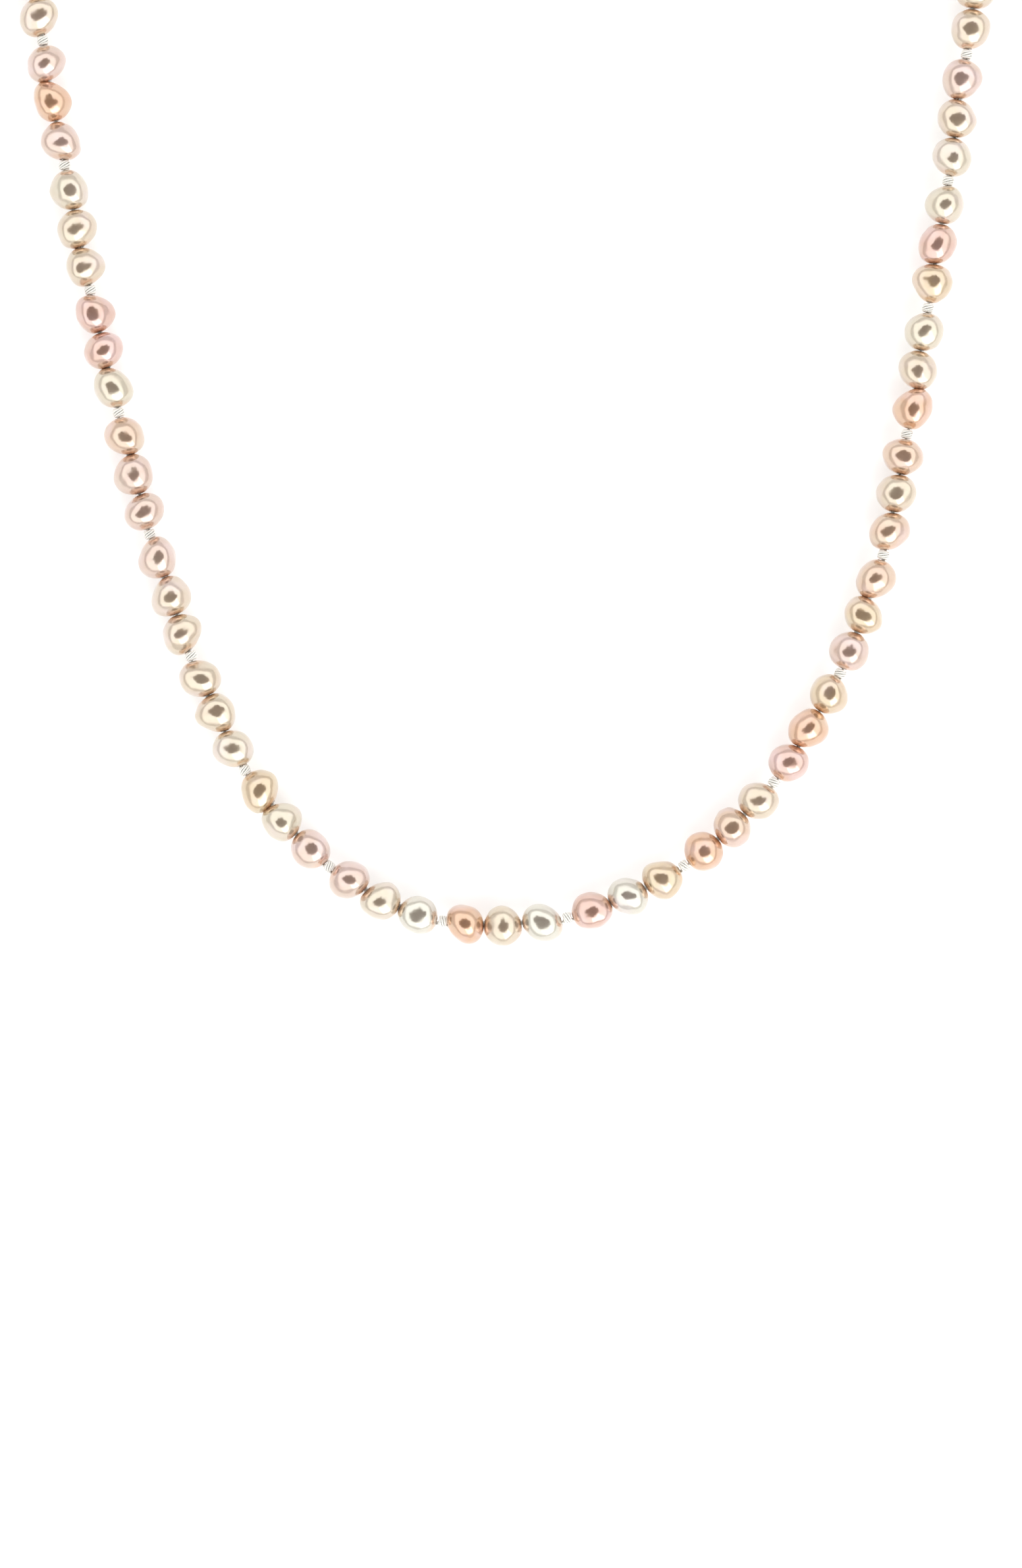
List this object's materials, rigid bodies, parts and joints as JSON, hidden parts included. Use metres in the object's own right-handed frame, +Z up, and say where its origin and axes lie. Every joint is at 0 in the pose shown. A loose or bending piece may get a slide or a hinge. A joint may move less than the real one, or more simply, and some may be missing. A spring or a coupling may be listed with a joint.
{
  "type": "pearl necklace",
  "caption": "Knotted freshwater pearl strand in mixed pastel tones with silk knots between trios and a lobster claw clasp, unfastened and laid flat as an open U.",
  "frame": {"origin": "under the middle pearl, on the surface that the strand lies on", "axes": "+Z up from that surface, +Y from the bottom of the U towards its two ends, +X towards the lobster claw's end"},
  "size_m": [0.1503, 0.2088, 0.0056],
  "materials": {
    "nacre": "gloss",
    "silk": "satin",
    "silver": "polished",
    "bullion_wire": "satin",
    "spring_steel": "satin"
  },
  "bodies": {
    "trio_13": {"trio_13": "nacre", "silk_thread": "silk"},
    "trio_01": {"trio_01": "nacre"},
    "trio_02": {"trio_02": "nacre"},
    "trio_03": {"trio_03": "nacre"},
    "trio_04": {"trio_04": "nacre"},
    "trio_05": {"trio_05": "nacre"},
    "trio_06": {"trio_06": "nacre"},
    "trio_07": {"trio_07": "nacre"},
    "trio_08": {"trio_08": "nacre"},
    "trio_09": {"trio_09": "nacre"},
    "trio_10": {"trio_10": "nacre"},
    "trio_11": {"trio_11": "nacre"},
    "trio_12": {"trio_12": "nacre"},
    "trio_14": {"trio_14": "nacre"},
    "trio_15": {"trio_15": "nacre"},
    "trio_16": {"trio_16": "nacre"},
    "trio_17": {"trio_17": "nacre"},
    "trio_18": {"trio_18": "nacre"},
    "trio_19": {"trio_19": "nacre"},
    "trio_20": {"trio_20": "nacre"},
    "trio_21": {"trio_21": "nacre"},
    "trio_22": {"trio_22": "nacre"},
    "trio_23": {"trio_23": "nacre"},
    "trio_24": {"trio_24": "nacre"},
    "trio_25": {"trio_25": "nacre"},
    "knot_01": {"knot_01": "silk"},
    "knot_02": {"knot_02": "silk"},
    "knot_03": {"knot_03": "silk"},
    "knot_04": {"knot_04": "silk"},
    "knot_05": {"knot_05": "silk"},
    "knot_06": {"knot_06": "silk"},
    "knot_07": {"knot_07": "silk"},
    "knot_08": {"knot_08": "silk"},
    "knot_09": {"knot_09": "silk"},
    "knot_10": {"knot_10": "silk"},
    "knot_11": {"knot_11": "silk"},
    "knot_12": {"knot_12": "silk"},
    "knot_13": {"knot_13": "silk"},
    "knot_14": {"knot_14": "silk"},
    "knot_15": {"knot_15": "silk"},
    "knot_16": {"knot_16": "silk"},
    "knot_17": {"knot_17": "silk"},
    "knot_18": {"knot_18": "silk"},
    "knot_19": {"knot_19": "silk"},
    "knot_20": {"knot_20": "silk"},
    "knot_21": {"knot_21": "silk"},
    "knot_22": {"knot_22": "silk"},
    "knot_23": {"knot_23": "silk"},
    "knot_24": {"knot_24": "silk"},
    "knot_25": {"knot_25": "silk"},
    "knot_26": {"knot_26": "silk"},
    "bullion_left": {"bullion_left": "bullion_wire"},
    "bullion_right": {"bullion_right": "bullion_wire"},
    "end_ring": {"end_ring": "silver"},
    "jump_ring": {"jump_ring": "silver"},
    "claw": {"claw_body": "silver", "claw_rivet": "silver", "lever_spring": "spring_steel"},
    "lever": {"claw_lever": "silver"}
  },
  "joints": [
    {"name": "lever_open", "type": "hinge", "parent": "claw", "child": "lever", "pos_m": [0.07142, 0.20053, 0.00281], "axis": [0, 0, -1], "range_deg": [0, 22], "stiffness_Nm_per_rad": 0.004, "springref_deg": -10, "deforming": ["lever_spring"]},
    {"name": "claw_swivel", "type": "hinge", "parent": "jump_ring", "child": "claw", "pos_m": [0.07261, 0.19516, 0.00281], "axis": [0, 0, 1], "range_deg": [-30, 30]},
    {"name": "jump_ring_swing", "type": "hinge", "parent": "bullion_right", "child": "jump_ring", "pos_m": [0.07229, 0.19213, 0.00281], "axis": [0.9945, -0.1049, 0], "range_deg": [-60, 60]},
    {"name": "end_ring_swing", "type": "hinge", "parent": "bullion_left", "child": "end_ring", "pos_m": [-0.07183, 0.194, 0.00281], "axis": [0.9945, 0.1049, 0], "range_deg": [-60, 60]},
    {"name": "knot_14_side", "type": "hinge", "parent": "trio_13", "child": "knot_14", "pos_m": [0.00877, 0.00116, 0.00281], "axis": [0, 0, 1], "range_deg": [-25, 25], "deforming": ["silk_thread"]},
    {"name": "knot_14_lift", "type": "hinge", "parent": "knot_14", "child": "trio_14", "pos_m": [0.00877, 0.00116, 0.00281], "axis": [0.2259, -0.9742, 0], "range_deg": [-20, 20]},
    {"name": "knot_13_side", "type": "hinge", "parent": "trio_13", "child": "knot_13", "pos_m": [-0.00819, 0.00068, 0.00281], "axis": [0, 0, 1], "range_deg": [-25, 25]},
    {"name": "knot_13_lift", "type": "hinge", "parent": "knot_13", "child": "trio_12", "pos_m": [-0.00819, 0.00068, 0.00281], "axis": [0.1992, 0.98, 0], "range_deg": [-20, 20]},
    {"name": "knot_15_side", "type": "hinge", "parent": "trio_14", "child": "knot_15", "pos_m": [0.02468, 0.00824, 0.00281], "axis": [0, 0, 1], "range_deg": [-25, 25]},
    {"name": "knot_15_lift", "type": "hinge", "parent": "knot_15", "child": "trio_15", "pos_m": [0.02468, 0.00824, 0.00281], "axis": [0.5694, -0.822, 0], "range_deg": [-20, 20]},
    {"name": "knot_12_side", "type": "hinge", "parent": "trio_12", "child": "knot_12", "pos_m": [-0.02371, 0.00817, 0.00281], "axis": [0, 0, 1], "range_deg": [-25, 25]},
    {"name": "knot_12_lift", "type": "hinge", "parent": "knot_12", "child": "trio_11", "pos_m": [-0.02371, 0.00817, 0.00281], "axis": [0.6415, 0.7671, 0], "range_deg": [-20, 20]},
    {"name": "knot_16_side", "type": "hinge", "parent": "trio_15", "child": "knot_16", "pos_m": [0.03694, 0.01962, 0.00281], "axis": [0, 0, 1], "range_deg": [-25, 25]},
    {"name": "knot_16_lift", "type": "hinge", "parent": "knot_16", "child": "trio_16", "pos_m": [0.03694, 0.01962, 0.00281], "axis": [0.7779, -0.6283, 0], "range_deg": [-20, 20]},
    {"name": "knot_11_side", "type": "hinge", "parent": "trio_11", "child": "knot_11", "pos_m": [-0.03518, 0.02131, 0.00281], "axis": [0, 0, 1], "range_deg": [-25, 25]},
    {"name": "knot_11_lift", "type": "hinge", "parent": "knot_11", "child": "trio_10", "pos_m": [-0.03518, 0.02131, 0.00281], "axis": [0.8458, 0.5335, 0], "range_deg": [-20, 20]},
    {"name": "knot_17_side", "type": "hinge", "parent": "trio_16", "child": "knot_17", "pos_m": [0.04597, 0.03446, 0.00281], "axis": [0, 0, 1], "range_deg": [-25, 25]},
    {"name": "knot_17_lift", "type": "hinge", "parent": "knot_17", "child": "trio_17", "pos_m": [0.04597, 0.03446, 0.00281], "axis": [0.9041, -0.4274, 0], "range_deg": [-20, 20]},
    {"name": "knot_10_side", "type": "hinge", "parent": "trio_10", "child": "knot_10", "pos_m": [-0.04251, 0.03684, 0.00281], "axis": [0, 0, 1], "range_deg": [-25, 25]},
    {"name": "knot_10_lift", "type": "hinge", "parent": "knot_10", "child": "trio_09", "pos_m": [-0.04251, 0.03684, 0.00281], "axis": [0.9314, 0.364, 0], "range_deg": [-20, 20]},
    {"name": "knot_18_side", "type": "hinge", "parent": "trio_17", "child": "knot_18", "pos_m": [0.05185, 0.0506, 0.00281], "axis": [0, 0, 1], "range_deg": [-25, 25]},
    {"name": "knot_18_lift", "type": "hinge", "parent": "knot_18", "child": "trio_18", "pos_m": [0.05185, 0.0506, 0.00281], "axis": [0.9671, -0.2544, 0], "range_deg": [-20, 20]},
    {"name": "knot_09_side", "type": "hinge", "parent": "trio_09", "child": "knot_09", "pos_m": [-0.04815, 0.05342, 0.00281], "axis": [0, 0, 1], "range_deg": [-25, 25]},
    {"name": "knot_09_lift", "type": "hinge", "parent": "knot_09", "child": "trio_08", "pos_m": [-0.04815, 0.05342, 0.00281], "axis": [0.9602, 0.2794, 0], "range_deg": [-20, 20]},
    {"name": "knot_19_side", "type": "hinge", "parent": "trio_18", "child": "knot_19", "pos_m": [0.05506, 0.06707, 0.00281], "axis": [0, 0, 1], "range_deg": [-25, 25]},
    {"name": "knot_19_lift", "type": "hinge", "parent": "knot_19", "child": "trio_19", "pos_m": [0.05506, 0.06707, 0.00281], "axis": [0.9856, -0.1691, 0], "range_deg": [-20, 20]},
    {"name": "knot_08_side", "type": "hinge", "parent": "trio_08", "child": "knot_08", "pos_m": [-0.05239, 0.06999, 0.00281], "axis": [0, 0, 1], "range_deg": [-25, 25]},
    {"name": "knot_08_lift", "type": "hinge", "parent": "knot_08", "child": "trio_07", "pos_m": [-0.05239, 0.06999, 0.00281], "axis": [0.9726, 0.2325, 0], "range_deg": [-20, 20]},
    {"name": "knot_20_side", "type": "hinge", "parent": "trio_19", "child": "knot_20", "pos_m": [0.05793, 0.08425, 0.00281], "axis": [0, 0, 1], "range_deg": [-25, 25]},
    {"name": "knot_20_lift", "type": "hinge", "parent": "knot_20", "child": "trio_20", "pos_m": [0.05793, 0.08425, 0.00281], "axis": [0.9871, -0.1603, 0], "range_deg": [-20, 20]},
    {"name": "knot_07_side", "type": "hinge", "parent": "trio_07", "child": "knot_07", "pos_m": [-0.05622, 0.08665, 0.00281], "axis": [0, 0, 1], "range_deg": [-25, 25]},
    {"name": "knot_07_lift", "type": "hinge", "parent": "knot_07", "child": "trio_06", "pos_m": [-0.05622, 0.08665, 0.00281], "axis": [0.9765, 0.2155, 0], "range_deg": [-20, 20]},
    {"name": "knot_21_side", "type": "hinge", "parent": "trio_20", "child": "knot_21", "pos_m": [0.06066, 0.10155, 0.00281], "axis": [0, 0, 1], "range_deg": [-25, 25]},
    {"name": "knot_21_lift", "type": "hinge", "parent": "knot_21", "child": "trio_21", "pos_m": [0.06066, 0.10155, 0.00281], "axis": [0.9885, -0.1515, 0], "range_deg": [-20, 20]},
    {"name": "knot_06_side", "type": "hinge", "parent": "trio_06", "child": "knot_06", "pos_m": [-0.05977, 0.1037, 0.00281], "axis": [0, 0, 1], "range_deg": [-25, 25]},
    {"name": "knot_06_lift", "type": "hinge", "parent": "knot_06", "child": "trio_05", "pos_m": [-0.05977, 0.1037, 0.00281], "axis": [0.9821, 0.1883, 0], "range_deg": [-20, 20]},
    {"name": "knot_22_side", "type": "hinge", "parent": "trio_21", "child": "knot_22", "pos_m": [0.06322, 0.11877, 0.00281], "axis": [0, 0, 1], "range_deg": [-25, 25]},
    {"name": "knot_22_lift", "type": "hinge", "parent": "knot_22", "child": "trio_22", "pos_m": [0.06322, 0.11877, 0.00281], "axis": [0.9898, -0.1427, 0], "range_deg": [-20, 20]},
    {"name": "knot_05_side", "type": "hinge", "parent": "trio_05", "child": "knot_05", "pos_m": [-0.06271, 0.12065, 0.00281], "axis": [0, 0, 1], "range_deg": [-25, 25]},
    {"name": "knot_05_lift", "type": "hinge", "parent": "knot_05", "child": "trio_04", "pos_m": [-0.06271, 0.12065, 0.00281], "axis": [0.9881, 0.1537, 0], "range_deg": [-20, 20]},
    {"name": "knot_23_side", "type": "hinge", "parent": "trio_22", "child": "knot_23", "pos_m": [0.06564, 0.13612, 0.00281], "axis": [0, 0, 1], "range_deg": [-25, 25]},
    {"name": "knot_23_lift", "type": "hinge", "parent": "knot_23", "child": "trio_23", "pos_m": [0.06564, 0.13612, 0.00281], "axis": [0.9911, -0.1334, 0], "range_deg": [-20, 20]},
    {"name": "knot_04_side", "type": "hinge", "parent": "trio_04", "child": "knot_04", "pos_m": [-0.06516, 0.13788, 0.00281], "axis": [0, 0, 1], "range_deg": [-25, 25]},
    {"name": "knot_04_lift", "type": "hinge", "parent": "knot_04", "child": "trio_03", "pos_m": [-0.06516, 0.13788, 0.00281], "axis": [0.991, 0.1335, 0], "range_deg": [-20, 20]},
    {"name": "knot_24_side", "type": "hinge", "parent": "trio_23", "child": "knot_24", "pos_m": [0.06784, 0.15308, 0.00281], "axis": [0, 0, 1], "range_deg": [-25, 25]},
    {"name": "knot_24_lift", "type": "hinge", "parent": "knot_24", "child": "trio_24", "pos_m": [0.06784, 0.15308, 0.00281], "axis": [0.9923, -0.124, 0], "range_deg": [-20, 20]},
    {"name": "knot_03_side", "type": "hinge", "parent": "trio_03", "child": "knot_03", "pos_m": [-0.06742, 0.15526, 0.00281], "axis": [0, 0, 1], "range_deg": [-25, 25]},
    {"name": "knot_03_lift", "type": "hinge", "parent": "knot_03", "child": "trio_02", "pos_m": [-0.06742, 0.15526, 0.00281], "axis": [0.9923, 0.1239, 0], "range_deg": [-20, 20]},
    {"name": "knot_25_side", "type": "hinge", "parent": "trio_24", "child": "knot_25", "pos_m": [0.06989, 0.17016, 0.00281], "axis": [0, 0, 1], "range_deg": [-25, 25]},
    {"name": "knot_25_lift", "type": "hinge", "parent": "knot_25", "child": "trio_25", "pos_m": [0.06989, 0.17016, 0.00281], "axis": [0.9934, -0.1145, 0], "range_deg": [-20, 20]},
    {"name": "knot_02_side", "type": "hinge", "parent": "trio_02", "child": "knot_02", "pos_m": [-0.06943, 0.17203, 0.00281], "axis": [0, 0, 1], "range_deg": [-25, 25]},
    {"name": "knot_02_lift", "type": "hinge", "parent": "knot_02", "child": "trio_01", "pos_m": [-0.06943, 0.17203, 0.00281], "axis": [0.9934, 0.1145, 0], "range_deg": [-20, 20]},
    {"name": "knot_26_side", "type": "hinge", "parent": "trio_25", "child": "knot_26", "pos_m": [0.0718, 0.18747, 0.00281], "axis": [0, 0, 1], "range_deg": [-25, 25]},
    {"name": "knot_26_lift", "type": "hinge", "parent": "knot_26", "child": "bullion_right", "pos_m": [0.0718, 0.18747, 0.00281], "axis": [0.9945, -0.1049, 0], "range_deg": [-20, 20]},
    {"name": "knot_01_side", "type": "hinge", "parent": "trio_01", "child": "knot_01", "pos_m": [-0.07134, 0.18933, 0.00281], "axis": [0, 0, 1], "range_deg": [-25, 25]},
    {"name": "knot_01_lift", "type": "hinge", "parent": "knot_01", "child": "bullion_left", "pos_m": [-0.07134, 0.18933, 0.00281], "axis": [0.9945, 0.1049, 0], "range_deg": [-20, 20]}
  ]
}
